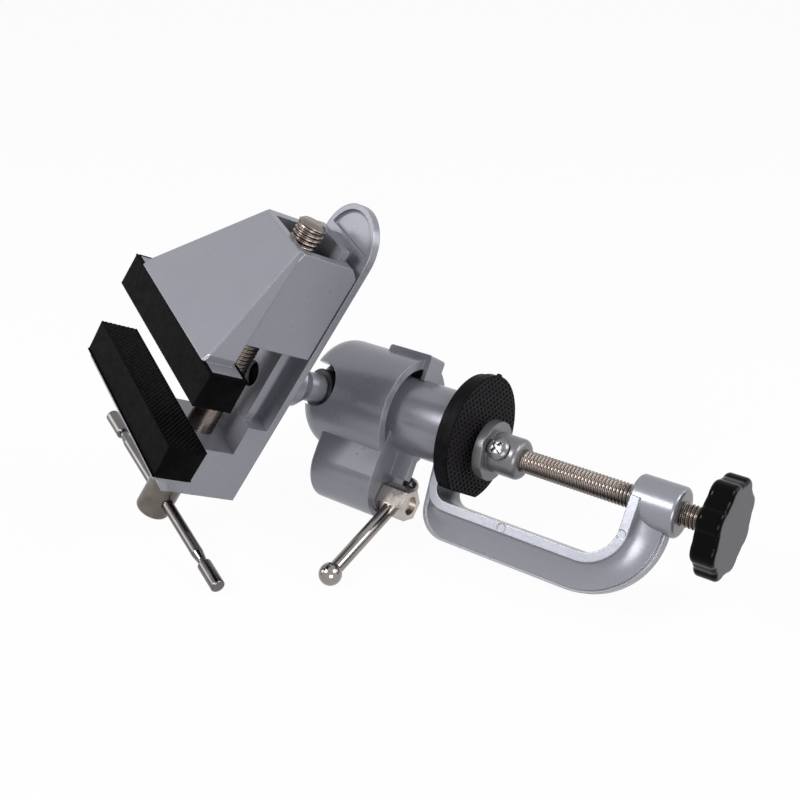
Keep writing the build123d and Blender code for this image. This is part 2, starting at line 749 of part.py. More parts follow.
def lead_screw():
    """Screw with a plain end for its head and a groove for the thrust pin."""
    axis = bed_lift + lead_height
    start = bed_front_x - part_gap - lead_socket_depth
    screw = bar(lead_radius, (start, 0, axis), (1, 0, 0), lead_end_x - start)
    screw = chamfer(screw.edges().sort_by(Axis.X)[-1], lead_tip_chamfer)
    half = thrust_pin_radius + part_gap
    groove = bar(lead_radius + overrun, (thrust_pin_x - half, 0, axis), (1, 0, 0), 2 * half)
    groove -= bar(thrust_groove_radius, (thrust_pin_x - half - overrun, 0, axis), (1, 0, 0),
                  2 * half + 2 * overrun)
    return head_place * (screw - groove)


def t_bar_place():
    """Place of the T-bar's middle, with the bar along Y."""
    return (head_place * Pos(t_bar_x, 0, bed_lift + lead_height) * Rot(t_bar_turn, 0, 0)
            * Pos(0, -t_bar_shift, 0))


def screw_head():
    """Head pressed on the lead screw's end, with the T-bar's cross hole."""
    axis = bed_lift + lead_height
    shoulder = bed_front_x - part_gap
    head = bar(lead_head_radius, (lead_head_end_x, 0, axis), (1, 0, 0), shoulder - lead_head_end_x)
    head = fillet(head.edges().sort_by(Axis.X)[0], lead_head_round)
    head -= bar(lead_radius + press_fit, (shoulder - lead_socket_depth - press_fit, 0, axis), (1, 0, 0),
                lead_socket_depth + overrun)
    reach = 2 * lead_head_radius
    cross_hole = bar(t_bar_radius + running_fit, (0, -reach, 0), (0, 1, 0), 2 * reach)
    return head_place * head - t_bar_place() * cross_hole


def t_bar():
    """Round bar through the screw's head, narrowed before each end, with a tenon for each cap."""
    shoulder = t_bar_half_length - t_bar_cap_length
    tenon = t_bar_half_length - t_bar_cap_radius
    neck = shoulder - t_bar_neck_length
    full = neck - t_bar_taper_length
    half = [(t_bar_radius, full), (t_bar_neck_radius, neck), (t_bar_neck_radius, shoulder),
            (t_bar_tenon_radius, shoulder), (t_bar_tenon_radius, tenon), (0, tenon)]
    other = [(radius, -y) for radius, y in reversed(half)]
    outline = Polyline(*[(radius, y, 0) for radius, y in other + half], close=True)
    return t_bar_place() * revolve(make_face(outline), Axis.Y)


def t_bar_cap(side):
    """Rounded end cap on the T-bar; side is -1 or 1."""
    shoulder = t_bar_half_length - t_bar_cap_length
    cap = bar(t_bar_cap_radius, (0, side * shoulder, 0), (0, side, 0), t_bar_cap_length)
    cap = fillet(cap.edges().filter_by(GeomType.CIRCLE), t_bar_cap_round)
    tenon = t_bar_half_length - t_bar_cap_radius + press_fit
    cap -= bar(t_bar_tenon_radius + press_fit, (0, side * (shoulder - overrun), 0), (0, side, 0),
               tenon - shoulder + overrun)
    return t_bar_place() * cap


parts = {
    "clamp_frame": clamp_frame(),
    "bench_pad": bench_pad(),
    "clamp_foot": clamp_foot(),
    "foot_screw": foot_screw(),
    "clamp_screw": clamp_screw(),
    "knob": knob(),
    "knob_insert": knob_insert(),
    "ball_cap": ball_cap(),
    "lock_screw": lock_screw(),
    "lock_lever": lock_lever(),
    "lever_ball_large": lever_ball(lever_large_ball_radius, lever_long_reach),
    "lever_ball_small": lever_ball(lever_small_ball_radius, -lever_short_reach),
    "swivel_ball": swivel_ball(),
    "ball_screw": ball_screw(),
    "vise_bed": vise_bed(),
    "thrust_pin": thrust_pin(),
    "fixed_jaw_cap": jaw_cap(fixed_grip_x, -1),
    "movable_jaw": movable_jaw(),
    "movable_jaw_cap": jaw_cap(moving_grip_x, 1),
    "jaw_nut": jaw_nut(),
    "lead_screw": lead_screw(),
    "screw_head": screw_head(),
    "t_bar": t_bar(),
    "t_bar_cap_upper": t_bar_cap(1),
    "t_bar_cap_lower": t_bar_cap(-1),
}

os.makedirs("parts", exist_ok=True)
for name, shape in parts.items():
    export_step(shape, f"parts/{name}.step")
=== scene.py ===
import bpy
import json
import numpy as np
from mathutils import Matrix, Vector


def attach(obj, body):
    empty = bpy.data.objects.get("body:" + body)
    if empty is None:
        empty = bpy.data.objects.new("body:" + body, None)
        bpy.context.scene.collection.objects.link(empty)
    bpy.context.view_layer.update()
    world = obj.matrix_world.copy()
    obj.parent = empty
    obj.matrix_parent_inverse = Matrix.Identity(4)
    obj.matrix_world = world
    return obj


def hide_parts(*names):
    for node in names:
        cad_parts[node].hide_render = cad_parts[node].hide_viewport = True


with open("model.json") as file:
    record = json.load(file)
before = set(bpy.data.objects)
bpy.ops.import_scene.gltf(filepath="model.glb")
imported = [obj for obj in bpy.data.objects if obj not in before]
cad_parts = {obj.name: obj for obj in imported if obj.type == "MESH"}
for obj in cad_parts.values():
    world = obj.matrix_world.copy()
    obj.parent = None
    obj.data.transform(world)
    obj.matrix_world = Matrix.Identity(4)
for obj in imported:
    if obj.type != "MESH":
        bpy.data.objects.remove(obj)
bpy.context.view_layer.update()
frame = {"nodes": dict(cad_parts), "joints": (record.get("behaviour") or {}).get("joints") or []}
nodes = frame["nodes"]
joints = {joint["name"]: joint for joint in frame["joints"]}

# The head's own axes, read from the joints: along the lead screw and along the neck
ball_centre = np.array(joints["head_spin"]["pos_m"])
along_screw = np.array(joints["jaw_travel"]["axis"])
along_neck = np.array(joints["head_spin"]["axis"])
across = np.cross(along_neck, along_screw)

# Places and thread sizes in metres
clamp_axis = np.array(joints["clamp_screw_turn"]["pos_m"])
lead_axis = np.array(joints["lead_screw_turn"]["pos_m"])
clamp_radius = 0.0040
clamp_pitch = 0.00125
lead_radius = 0.0050
lead_pitch = 0.0015

# A thread's depth as a share of its pitch
thread_share = 0.40

# The pad's net: the pitch of each slanted wave in metres, how much it leans, and the cosines at a pit's edge
# and floor
net_pitch = 0.0020
net_lean = 1.17
pit_edge = -0.5
pit_floor = 0.4

# The clamp frame's section and outline, in metres
throat_x = -0.0246
throat_height = 0.060
throat_top_radius = 0.005
throat_bottom_radius = 0.011
back_top_radius = 0.011
back_bottom_radius = 0.026
arm_depth = 0.0126
arm_top = 0.0110
pad_top = 0.0059
arm_start_x = 0.0
flange_thickness = 0.0032
flange_half = 0.0089
web_half = 0.0032
rim = 0.0010
cove_turn = 1.2

# The photograph's camera
camera_place = (-0.0108, -0.3621, -0.1833)
camera_back = (-0.0349, -0.8544, -0.5185)
camera_up = (0.9445, -0.1978, 0.2623)
camera_lens = 52.7
camera_sensor = 36.0
table_normal = Vector((0.816, -0.578, -0.003)).normalized()

# Light: strengths between 0 and 1, and each lamp's distance in metres
table_grey = (0.6, 0.6, 0.6, 1)
table_glow = 0.96
ambient_strength = 0.12
lamp_distance = 0.8


# Node helpers

class Finish:
    """A node material with a few short calls for its pattern, colour, roughness and bump."""

    def __init__(self, name, metallic=0.0, specular=0.5):
        self.material = bpy.data.materials.new(name)
        self.material.use_nodes = True
        self.tree = self.material.node_tree
        self.shader = self.tree.nodes["Principled BSDF"]
        self.shader.inputs["Metallic"].default_value = metallic
        self.shader.inputs["Specular IOR Level"].default_value = specular
        self.place = self.tree.nodes.new("ShaderNodeTexCoord").outputs["Object"]

    def node(self, kind, **settings):
        """A new node with its settings."""
        node = self.tree.nodes.new(kind)
        for key, value in settings.items():
            setattr(node, key, value)
        return node

    def link(self, source, target):
        """Joins an output to an input."""
        self.tree.links.new(source, target)

    def noise(self, grain, detail):
        """Noise whose features are about grain metres across."""
        node = self.node("ShaderNodeTexNoise")
        node.inputs["Scale"].default_value = 1.0 / grain
        node.inputs["Detail"].default_value = detail
        self.link(self.place, node.inputs["Vector"])
        return node.outputs["Fac"]

    def ramp(self, factor, low, high, start=0.3, end=0.7):
        """A value that runs from low to high while the factor runs from start to end."""
        node = self.node("ShaderNodeMapRange")
        node.inputs["From Min"].default_value = start
        node.inputs["From Max"].default_value = end
        node.inputs["To Min"].default_value = low
        node.inputs["To Max"].default_value = high
        self.link(factor, node.inputs["Value"])
        return node.outputs["Result"]

    def colours(self, factor, low, high, start=0.3, end=0.7):
        """A colour that runs between two colours while the factor runs from start to end."""
        node = self.node("ShaderNodeValToRGB")
        node.color_ramp.elements[0].position = start
        node.color_ramp.elements[0].color = (*low, 1)
        node.color_ramp.elements[1].position = end
        node.color_ramp.elements[1].color = (*high, 1)
        self.link(factor, node.inputs["Fac"])
        return node.outputs["Color"]

    def maths(self, operation, first, second=None):
        """A Math node on outputs or numbers."""
        node = self.node("ShaderNodeMath", operation=operation)
        for socket, value in zip(node.inputs, (first, second)):
            if value is None:
                continue
            if isinstance(value, (int, float)):
                socket.default_value = value
            else:
                self.link(value, socket)
        return node.outputs["Value"]

    def mix(self, factor, first, second):
        """A colour mix of two colours or outputs by a factor."""
        node = self.node("ShaderNodeMix", data_type="RGBA")
        self.link(factor, node.inputs["Factor"])
        for socket, value in ((node.inputs[6], first), (node.inputs[7], second)):
            if isinstance(value, tuple):
                socket.default_value = (*value, 1)
            else:
                self.link(value, socket)
        return node.outputs[2]

    def along(self, vector, axis):
        """How far a vector output reaches along a direction."""
        dot = self.node("ShaderNodeVectorMath", operation="DOT_PRODUCT")
        self.link(vector, dot.inputs[0])
        dot.inputs[1].default_value = tuple(float(v) for v in axis)
        return dot.outputs["Value"]

    def facing(self, axis, start, end):
        """One where the surface faces a direction in the object's own axes, else zero."""
        normal = self.node("ShaderNodeNewGeometry").outputs["True Normal"]
        turn = self.node("ShaderNodeVectorTransform", vector_type="NORMAL",
                         convert_from="WORLD", convert_to="OBJECT")
        self.link(normal, turn.inputs["Vector"])
        return self.ramp(self.along(turn.outputs["Vector"], axis), 0.0, 1.0, start, end)

    def colour(self, output):
        """Gives the surface its colour."""
        self.link(output, self.shader.inputs["Base Color"])

    def rough(self, output):
        """Gives the surface its roughness."""
        self.link(output, self.shader.inputs["Roughness"])

    def soften(self, radius):
        """Rounds the look of sharp edges over a radius in metres."""
        node = self.node("ShaderNodeBevel", samples=8)
        node.inputs["Radius"].default_value = radius
        self.link(node.outputs["Normal"], self.shader.inputs["Normal"])

    def bump(self, height, depth):
        """Bump of a depth in metres from a height between 0 and 1, on top of any softened edges."""
        node = self.node("ShaderNodeBump")
        node.inputs["Strength"].default_value = 1.0
        node.inputs["Distance"].default_value = depth
        self.link(height, node.inputs["Height"])
        normal = self.shader.inputs["Normal"]
        if normal.is_linked:
            self.link(normal.links[0].from_socket, node.inputs["Normal"])
        self.link(node.outputs["Normal"], normal)


# Finishes

def cast_paint(name, dark, light):
    """Satin paint on a casting: metal flake, slow cloudiness, a little orange peel and softened edges."""
    paint = Finish(name, metallic=0.45)
    flake = paint.colours(paint.noise(0.00035, 3.0), dark, light)
    cloud = paint.ramp(paint.noise(0.018, 2.0), 0.0, 0.3)
    middle = tuple((low + high) / 2 for low, high in zip(dark, light))
    paint.colour(paint.mix(cloud, flake, middle))
    paint.rough(paint.ramp(paint.noise(0.008, 2.0), 0.27, 0.31))
    paint.soften(0.0004)
    paint.bump(paint.noise(0.0016, 1.0), 0.000015)
    return paint.material


def matt_black(name, specular, roughness):
    """Black rubber or blackened steel with a fine grain and slightly lighter worn patches."""
    black = Finish(name, specular=specular)
    unworn, worn = (0.0005, 0.0005, 0.0007), (0.002, 0.0018, 0.0024)
    black.colour(black.colours(black.noise(0.006, 4.0), unworn, worn))
    black.rough(black.ramp(black.noise(0.002, 3.0), roughness - 0.08, roughness + 0.08))
    black.soften(0.0003)
    black.bump(black.noise(0.0004, 2.0), 0.00004)
    return black.material


def netted_rubber(pitch, lean):
    """Black rubber whose lower face is a slightly lighter black than its sides, with the pits of its net of
    crossing ridges painted near-black as painted shade. A pit lies where the cosines of both slanted waves
    are high."""
    rubber = Finish("pad rubber", specular=0.04)
    underside = rubber.facing((0, 0, -1), 0.3, 0.6)
    pits = underside
    for sign in (1, -1):
        across_wave = np.array((lean, sign, 0)) / np.hypot(lean, 1)
        turns = rubber.maths("MULTIPLY", rubber.along(rubber.place, across_wave), 2 * np.pi / pitch)
        wave = rubber.maths("COSINE", turns)
        pits = rubber.maths("MULTIPLY", pits, rubber.ramp(wave, 0.0, 1.0, pit_edge, pit_floor))
    grain = rubber.colours(rubber.noise(0.004, 4.0), (0.002, 0.0018, 0.0022), (0.006, 0.0052, 0.0062))
    # The lower face gets a slightly lighter black than the sides.
    worn = rubber.mix(underside, grain, (0.0100, 0.0086, 0.0100))
    # Painted shade: the pits of the net are painted near-black, as the shade in these recesses.
    rubber.colour(rubber.mix(pits, worn, (0.0005, 0.0005, 0.0005)))
    rubber.rough(rubber.ramp(rubber.noise(0.002, 3.0), 0.40, 0.55))
    rubber.soften(0.0003)
    rubber.bump(rubber.noise(0.0004, 2.0), 0.00002)
    return rubber.material


def knob_black():
    """Glossy black moulding with a duller, greyer flat front."""
    knob = Finish("knob black", specular=0.06)
    face = knob.facing((0, 0, -1), 0.9, 0.99)
    knob.colour(knob.mix(face, (0.0008, 0.0008, 0.0008), (0.074, 0.071, 0.079)))
    knob.rough(knob.ramp(face, 0.07, 0.42, 0.0, 1.0))
    knob.bump(knob.noise(0.0015, 3.0), 0.00002)
    return knob.material


def plated(name, dark, light, grain, smooth, rough, peel, metallic=1.0, edge=0.0):
    """Plated or turned metal: colour patches of a grain in metres, a roughness range, and a fine unevenness
    and softened edges, both in metres."""
    metal = Finish(name, metallic=metallic)
    metal.colour(metal.colours(metal.noise(grain, 4.0), dark, light))
    metal.rough(metal.ramp(metal.noise(grain / 2, 4.0), smooth, rough))
    if edge:
        metal.soften(edge)
    metal.bump(metal.noise(grain / 4, 3.0), peel)
    return metal.material


casting_paint = cast_paint("silver paint", (0.200, 0.204, 0.233), (0.228, 0.232, 0.264))
zinc_casting = cast_paint("bare zinc casting", (0.125, 0.120, 0.128), (0.155, 0.149, 0.159))
jaw_rubber = matt_black("jaw rubber", specular=0.025, roughness=0.52)
black_steel = matt_black("blackened steel", specular=0.02, roughness=0.60)
pad_rubber = netted_rubber(net_pitch, net_lean)
moulded_black = knob_black()
nickel = plated("nickel plate", (0.165, 0.138, 0.124), (0.220, 0.188, 0.170),
                grain=0.006, smooth=0.24, rough=0.30, peel=0.000002)
turned_nickel = plated("turned nickel", (0.08, 0.068, 0.060), (0.125, 0.108, 0.096),
                       grain=0.006, smooth=0.24, rough=0.32, peel=0.000004, metallic=0.5, edge=0.0002)
bright_nickel = plated("bright nickel", (0.42, 0.375, 0.350), (0.52, 0.475, 0.445),
                       grain=0.006, smooth=0.20, rough=0.28, peel=0.000001)
chrome = plated("chrome plate", (0.24, 0.222, 0.215), (0.30, 0.28, 0.27),
                grain=0.010, smooth=0.10, rough=0.14, peel=0.0000008)
# Painted shade: the T-bar is plated like the lever, and this darker copy of its chrome stands in for the
# darker surroundings the T-bar reflects.
chrome_in_painted_shade = plated("chrome in painted shade", (0.12, 0.112, 0.112), (0.17, 0.16, 0.16),
                     grain=0.010, smooth=0.10, rough=0.15, peel=0.0000008)
zinc = plated("zinc plate", (0.13, 0.132, 0.138), (0.19, 0.193, 0.200),
              grain=0.003, smooth=0.26, rough=0.34, peel=0.000002, metallic=0.8)
brass = plated("turned brass", (0.42, 0.29, 0.12), (0.68, 0.52, 0.26),
               grain=0.003, smooth=0.28, rough=0.45, peel=0.00002)
# Painted shade: the swivel ball is coloured near-black for the shade and dark reflections inside the cap
# round its neck.
ball_in_painted_shade = plated("ball steel", (0.020, 0.020, 0.023), (0.036, 0.036, 0.040),
                    grain=0.005, smooth=0.35, rough=0.50, peel=0.00001, metallic=0.6)

finishes = {
    casting_paint: ("clamp_frame", "ball_cap", "vise_bed", "movable_jaw"),
    zinc_casting: ("clamp_foot",),
    jaw_rubber: ("fixed_jaw_cap", "movable_jaw_cap"),
    pad_rubber: ("bench_pad",),
    moulded_black: ("knob",),
    nickel: ("clamp_screw", "lead_screw"),
    bright_nickel: ("lock_screw",),
    turned_nickel: ("screw_head",),
    chrome: ("lock_lever", "lever_ball_large", "lever_ball_small"),
    chrome_in_painted_shade: ("t_bar", "t_bar_cap_upper", "t_bar_cap_lower"),
    zinc: ("foot_screw", "thrust_pin"),
    black_steel: ("ball_screw",),
    brass: ("jaw_nut", "knob_insert"),
    ball_in_painted_shade: ("swivel_ball",),
}
for material, names in finishes.items():
    for name in names:
        nodes[name].data.materials.clear()
        nodes[name].data.materials.append(material)


# Surfaces

def skin(name, rings, body, node, material):
    """Closed surface from rings of points: quads from ring to ring and a fan to the middle of each end
    ring, all turned outward. It rides a body and takes the place of a node, if one is named."""
    count, around = rings.shape[:2]
    middles = np.stack([rings[0].mean(axis=0), rings[-1].mean(axis=0)])
    points = np.concatenate([rings.reshape(-1, 3), middles])
    index = np.arange(count * around).reshape(count, around)
    following = np.roll(index, -1, axis=1)
    quads = np.stack([index[:-1], following[:-1], following[1:], index[1:]], axis=-1).reshape(-1, 4)
    start = np.stack([np.full(around, count * around), following[0], index[0]], axis=-1)
    end = np.stack([np.full(around, count * around + 1), index[-1], following[-1]], axis=-1)
    triangles = np.concatenate([quads[:, [0, 1, 2]], quads[:, [0, 2, 3]], start, end])
    a, b, c = (points[triangles[:, k]] for k in range(3))
    if np.einsum("ij,ij->i", a, np.cross(b, c)).sum() < 0:
        quads, start, end = quads[:, ::-1], start[:, ::-1], end[:, ::-1]
    mesh = bpy.data.meshes.new(name)
    mesh.from_pydata(points.tolist(), [], quads.tolist() + start.tolist() + end.tolist())
    mesh.shade_smooth()
    mesh.set_sharp_from_angle(angle=0.75)
    mesh.materials.append(material)
    piece = bpy.data.objects.new(name, mesh)
    bpy.context.scene.collection.objects.link(piece)
    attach(piece, body)
    if node:
        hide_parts(node)


def turned(heights, radii, origin, axis, around=72):
    """Rings round an axis: the point at height h and angle t is origin + h * axis + r * (cos t * a + sin t
    * b), with a and b square to the axis; heights and radii may be one per ring or a ring by angle
    array."""
    axis = np.asarray(axis, float) / np.linalg.norm(axis)
    first = np.cross((0.0, 1.0, 0.0), axis)
    first /= np.linalg.norm(first)
    second = np.cross(axis, first)
    angles = np.linspace(0, 2 * np.pi, around, endpoint=False)
    grid = (len(heights), around)
    heights = np.broadcast_to(np.asarray(heights, float).reshape(len(heights), -1), grid)
    radii = np.broadcast_to(np.asarray(radii, float).reshape(len(radii), -1), grid)
    side = np.cos(angles)[:, None] * first + np.sin(angles)[:, None] * second
    return np.asarray(origin) + heights[:, :, None] * axis + radii[:, :, None] * side


def threaded(low, high, radius, pitch, depth, around=72, rows=20):
    """Heights and radii of a right-hand thread: the radius is the crest's less the depth times a V profile
    with a flat crest and root, whose phase is height / pitch - angle / full turn; it fades out over one
    pitch at each end."""
    crest_edge, flank = 0.88, 0.66
    heights = np.linspace(low, high, int(round((high - low) / pitch * rows)) + 1)
    angles = np.linspace(0, 1, around, endpoint=False)
    phase = (heights[:, None] / pitch - angles) % 1
    valley = np.clip((crest_edge - np.abs(2 * phase - 1)) / flank, 0, 1)
    fade = np.clip(np.minimum(heights - low, high - heights) / pitch, 0, 1)
    return heights, radius - depth * valley * fade[:, None]


def corners(names):
    """All the vertices of some nodes, as an array."""
    found = []
    for name in names:
        mesh = nodes[name].data
        flat = np.empty(len(mesh.vertices) * 3)
        mesh.vertices.foreach_get("co", flat)
        found.append(flat.reshape(-1, 3))
    return np.concatenate(found)


def reach(node, axis, origin):
    """Least and greatest distance of a node from an origin along a direction."""
    distances = (corners([node]) - np.asarray(origin)) @ np.asarray(axis)
    return distances.min(), distances.max()


def spindle_rings(before, thread, after, origin, axis, around=72):
    """Rings of a screw: a plain profile of (height, radius) steps, its thread, and a plain profile
    again."""
    heights, radii = thread
    lower, upper = np.array(before), np.array(after)
    all_heights = np.concatenate([lower[:, 0], heights, upper[:, 0]])
    lower_radii, upper_radii = (np.repeat(part[:, 1:], around, axis=1) for part in (lower, upper))
    return turned(all_heights, np.concatenate([lower_radii, radii, upper_radii]), origin, axis, around)


def grooved(middle, half, deep, radius, edge=0.00005):
    """Profile steps of a square groove in a plain shank, from below to above."""
    return [(middle - half - edge, radius), (middle - half, deep), (middle + half, deep),
            (middle + half + edge, radius)]


def clamp_spindle():
    """Clamp screw: coarse thread from the knob to the foot and a plain grooved end inside the foot."""
    low, high = reach("clamp_screw", (0, 0, 1), clamp_axis)
    knob_back = reach("knob", (0, 0, 1), clamp_axis)[1]
    foot_low = reach("clamp_foot", (0, 0, 1), clamp_axis)[0]
    groove = np.mean(reach("foot_screw", (0, 0, 1), clamp_axis))
    neck, deep, half_groove, break_edge = 0.0036, 0.0022, 0.00155, 0.0003
    thread = threaded(knob_back, foot_low - break_edge, clamp_radius, clamp_pitch, thread_share * clamp_pitch)
    end = [(foot_low - break_edge / 2, neck), *grooved(groove, half_groove, deep, neck),
           (high - break_edge, neck), (high, neck - break_edge)]
    rings = spindle_rings([(low, clamp_radius)], thread, end, clamp_axis, (0, 0, 1))
    skin("clamp_screw_thread", rings, "spindle", "clamp_screw", nickel)


def lead_spindle():
    """Lead screw: a plain shank with the thrust pin's groove, then its thread up to a chamfered tip."""
    low, high = reach("lead_screw", along_screw, lead_axis)
    groove = np.mean(reach("thrust_pin", along_screw, lead_axis))
    thread_start, deep, half_groove, chamfer = -0.0010, 0.0039, 0.0015, 0.0010
    thread = threaded(thread_start, high - chamfer, lead_radius, lead_pitch, thread_share * lead_pitch)
    shank = [(low, lead_radius), *grooved(groove, half_groove, deep, lead_radius)]
    tip = [(high - 0.9 * chamfer, lead_radius), (high, lead_radius - chamfer)]
    rings = spindle_rings(shank, thread, tip, lead_axis, along_screw)
    skin("lead_screw_thread", rings, "lead", "lead_screw", nickel)


def foot_cross_screw():
    """Foot screw: a pan head with a cross recess, as rings whose radius and height both vary. The head's
    height falls with the fourth power of the radius, less a soft-walled cross."""
    around, dome_rings, middle_share, crowding = 192, 70, 0.015, 0.8
    height = np.mean(reach("foot_screw", (0, 0, 1), clamp_axis))
    origin = np.array([clamp_axis[0], clamp_axis[1], height])
    axis = corners(["foot_screw"]).mean(axis=0) - origin
    axis[2] = 0.0
    axis /= np.linalg.norm(axis)
    tip, top = reach("foot_screw", axis, origin)
    head, shank, rise, brim = 0.0040, 0.0014, 0.0024, 0.0010
    chamfer, seat_step = 0.0003, 0.00001
    seat = top - rise
    steps = np.array([(tip, 0.8 * shank), (tip + chamfer, shank), (seat, shank),
                      (seat + seat_step, head), (seat + brim, head)])
    lower = turned(steps[:, 0], steps[:, 1], origin, axis, around)
    share = np.linspace(1, middle_share, dome_rings) ** crowding
    turns = np.linspace(0, 2 * np.pi, around, endpoint=False)
    radius = np.repeat(share[:, None] * head, around, axis=1)
    dome = seat + rise - (rise - brim) * (radius / head) ** 4
    cross_turn, arm, length, wall, recess = 0.6, 0.00052, 0.0023, 0.00003, 0.0012
    x = radius * np.cos(turns + cross_turn)
    y = radius * np.sin(turns + cross_turn)

    def slot(side, run):
        """Depth share of one bar of the cross: near one inside it and near zero outside it."""
        outside = np.maximum(np.abs(side) - arm, np.abs(run) - length)
        return 1 / (1 + np.exp(np.clip(outside / wall, -40, 40)))

    dome = dome - recess * np.maximum(slot(x, y), slot(y, x))
    upper = turned(dome, radius, origin, axis, around)
    skin("foot_screw_cross", np.concatenate([lower, upper]), "foot", "foot_screw", zinc)


def rounded_run(points, radii, steps=24):
    """Points along a run of straight lines whose inner corners are arcs: each arc's point at angle t is its
    middle plus its radius times (cos t, sin t), and every arc has the same number of steps."""
    points = np.asarray(points, float)
    run = [points[:1]]
    for before, corner, after, radius in zip(points, points[1:], points[2:], radii):
        back = (before - corner) / np.linalg.norm(before - corner)
        on = (after - corner) / np.linalg.norm(after - corner)
        half = np.arccos(back @ on) / 2
        middle = corner + (back + on) / np.linalg.norm(back + on) * radius / np.sin(half)
        start = corner + back * radius / np.tan(half) - middle
        end = corner + on * radius / np.tan(half) - middle
        full_turn = np.arctan2(start[0] * end[1] - start[1] * end[0], start @ end)
        turn = np.linspace(0, full_turn, steps)[:, None]
        run.append(middle + np.cos(turn) * start + np.sin(turn) * np.array([-start[1], start[0]]))
    run.append(points[-1:])
    return np.concatenate(run)


def web_cove(name, side):
    """Hollow root of the clamp's web: a quarter of an ellipse from the throat's flange to the web's back
    edge, carried between the flange's outline and the back's outline."""
    back = reach("clamp_frame", (1, 0, 0), (0, 0, 0))[0]
    flange_x, edge_x = throat_x - flange_thickness, back + rim
    flange_z, edge_z = -throat_height - flange_thickness, -throat_height - arm_depth + rim
    arm_end = clamp_axis[0]
    inner = rounded_run([(arm_start_x, pad_top + flange_thickness), (flange_x, pad_top + flange_thickness),
                         (flange_x, flange_z), (arm_end, flange_z)],
                        [throat_top_radius + flange_thickness, throat_bottom_radius + flange_thickness])
    outer = rounded_run([(arm_start_x, arm_top - rim), (edge_x, arm_top - rim), (edge_x, edge_z),
                         (arm_end, edge_z)], [back_top_radius - rim, back_bottom_radius - rim])
    steps, sunk, overlap = 16, 0.0003, 0.1
    turn = np.linspace(0, cove_turn, steps)
    share = (1 - np.cos(turn)) / (1 - np.cos(cove_turn))
    half = web_half + (flange_half - web_half) * (1 - np.sin(turn) / np.sin(cove_turn))
    share = np.concatenate([share, [1.0, -overlap, -overlap]])
    half = np.concatenate([half - sunk / 10, [web_half - sunk, web_half - sunk, flange_half - sunk]])
    run = inner[:, None] + share[None, :, None] * (outer - inner)[:, None]
    rings = np.stack([run[..., 0], side * np.broadcast_to(half, run.shape[:2]), run[..., 1]], axis=-1)
    skin(name, rings, "clamp", None, casting_paint)


def quarter_round(radius, steps=4):
    """Inset and depth along a quarter circle, from the side to the face."""
    angle = np.linspace(0, np.pi / 2, steps)
    return radius * (1 - np.cos(angle)), radius * (1 - np.sin(angle))


def shouldered_ball():
    """Swivel ball: a sphere's profile turned round the neck, with a shoulder that fills the cap's slot
    round the neck and a socket inside it."""
    radius = reach("swivel_ball", across, ball_centre)[1]
    shoulder, face, socket, depth, edge_break = 0.0074, 0.0180, 0.00545, 0.0062, 0.0004
    first_angle, sphere_rings, around = 0.02, 60, 96
    leave = np.arccos(-np.sqrt(radius ** 2 - shoulder ** 2) / radius)
    angle = np.linspace(first_angle, leave, sphere_rings)
    sphere = np.stack([-radius * np.cos(angle), radius * np.sin(angle)], axis=-1)
    rest = [(face - edge_break, shoulder), (face, shoulder - edge_break), (face, socket), (depth, socket)]
    profile = np.concatenate([sphere, np.array(rest)])
    rings = turned(profile[:, 0], profile[:, 1], ball_centre, along_neck, around)
    skin("swivel_ball_shoulder", rings, "ball", "swivel_ball", ball_in_painted_shade)


def studded_pad():
    """Bench pad: rings round the post's axis over the lower face, side, step and top. The lower face is a
    net of fine crossing ridges: the height of a pit is a product of two slanted waves, each cut off
    flat."""
    around, face_rings, side_rings = 600, 96, 12
    turns = np.linspace(0, 2 * np.pi, around, endpoint=False)
    low, high = reach("bench_pad", (0, 0, 1), (0, 0, 0))
    flat = -reach("bench_pad", (1, 0, 0), (0, 0, 0))[0]
    radius = reach("bench_pad", (0, 1, 0), (0, 0, 0))[1]
    step_height, step, soft = 0.0031, 0.0007, 0.0003
    peg, peg_depth = 0.0090, 0.0028
    pip_radius, pip_rise = 0.0011, 0.0008

    def edge(outer):
        """Radius at each angle of a circle cut off by the flat beside the spine."""
        towards_flat = np.maximum(-np.cos(turns), 1e-6)
        return np.minimum(outer, flat / towards_flat)

    inset, depth = quarter_round(soft)
    face = np.linspace(0.01, 1, face_rings)
    lower = [(edge(radius) - soft) * share for share in face]
    levels = [np.full(around, low)] * len(lower)
    for side_inset, side_depth in zip(inset[::-1], depth[::-1]):
        lower.append(edge(radius) - side_inset)
        levels.append(np.full(around, low + soft - side_depth))
    rings = np.stack(lower)
    heights = np.stack(levels)
    side_levels = np.linspace(low + 1.4 * soft, low + step_height - soft / 2, side_rings)
    sideways = radius * np.sin(turns) * (np.cos(turns) > 0) + 1.0 * (np.cos(turns) <= 0)
    from_pip = np.hypot(sideways, side_levels[:, None] - low - step_height / 2)
    pip = pip_rise * np.clip(1.2 * (1 - (from_pip / pip_radius) ** 4), 0, 1)
    side = edge(radius) + pip
    upper = [edge(radius - soft / 2), edge(radius - step), edge(radius - step), edge(radius - step - soft),
             np.full(around, peg), np.full(around, peg)]
    upper_levels = [low + step_height, low + step_height, high - soft, high, high, high - peg_depth]
    rings = np.concatenate([rings, side, np.stack(upper)])
    heights = np.concatenate([heights, np.repeat(side_levels[:, None], around, axis=1),
                              np.repeat(np.array(upper_levels)[:, None], around, axis=1)])
    x, y = rings * np.cos(turns), rings * np.sin(turns)
    relief = 0.00045
    wave = 2 * np.pi / net_pitch
    pits = np.ones_like(x)
    for sign in (1, -1):
        slope = (net_lean * x + sign * y) / np.hypot(net_lean, 1)
        pits = pits * np.clip((np.cos(wave * slope) - pit_edge) / (pit_floor - pit_edge), 0, 1)
    margin = np.clip((edge(radius) - soft - rings) / soft, 0, 1)
    heights[:face_rings] += (relief * pits * margin)[:face_rings]
    skin("bench_pad_studs", np.stack([x, y, heights], axis=-1), "clamp", "bench_pad", pad_rubber)


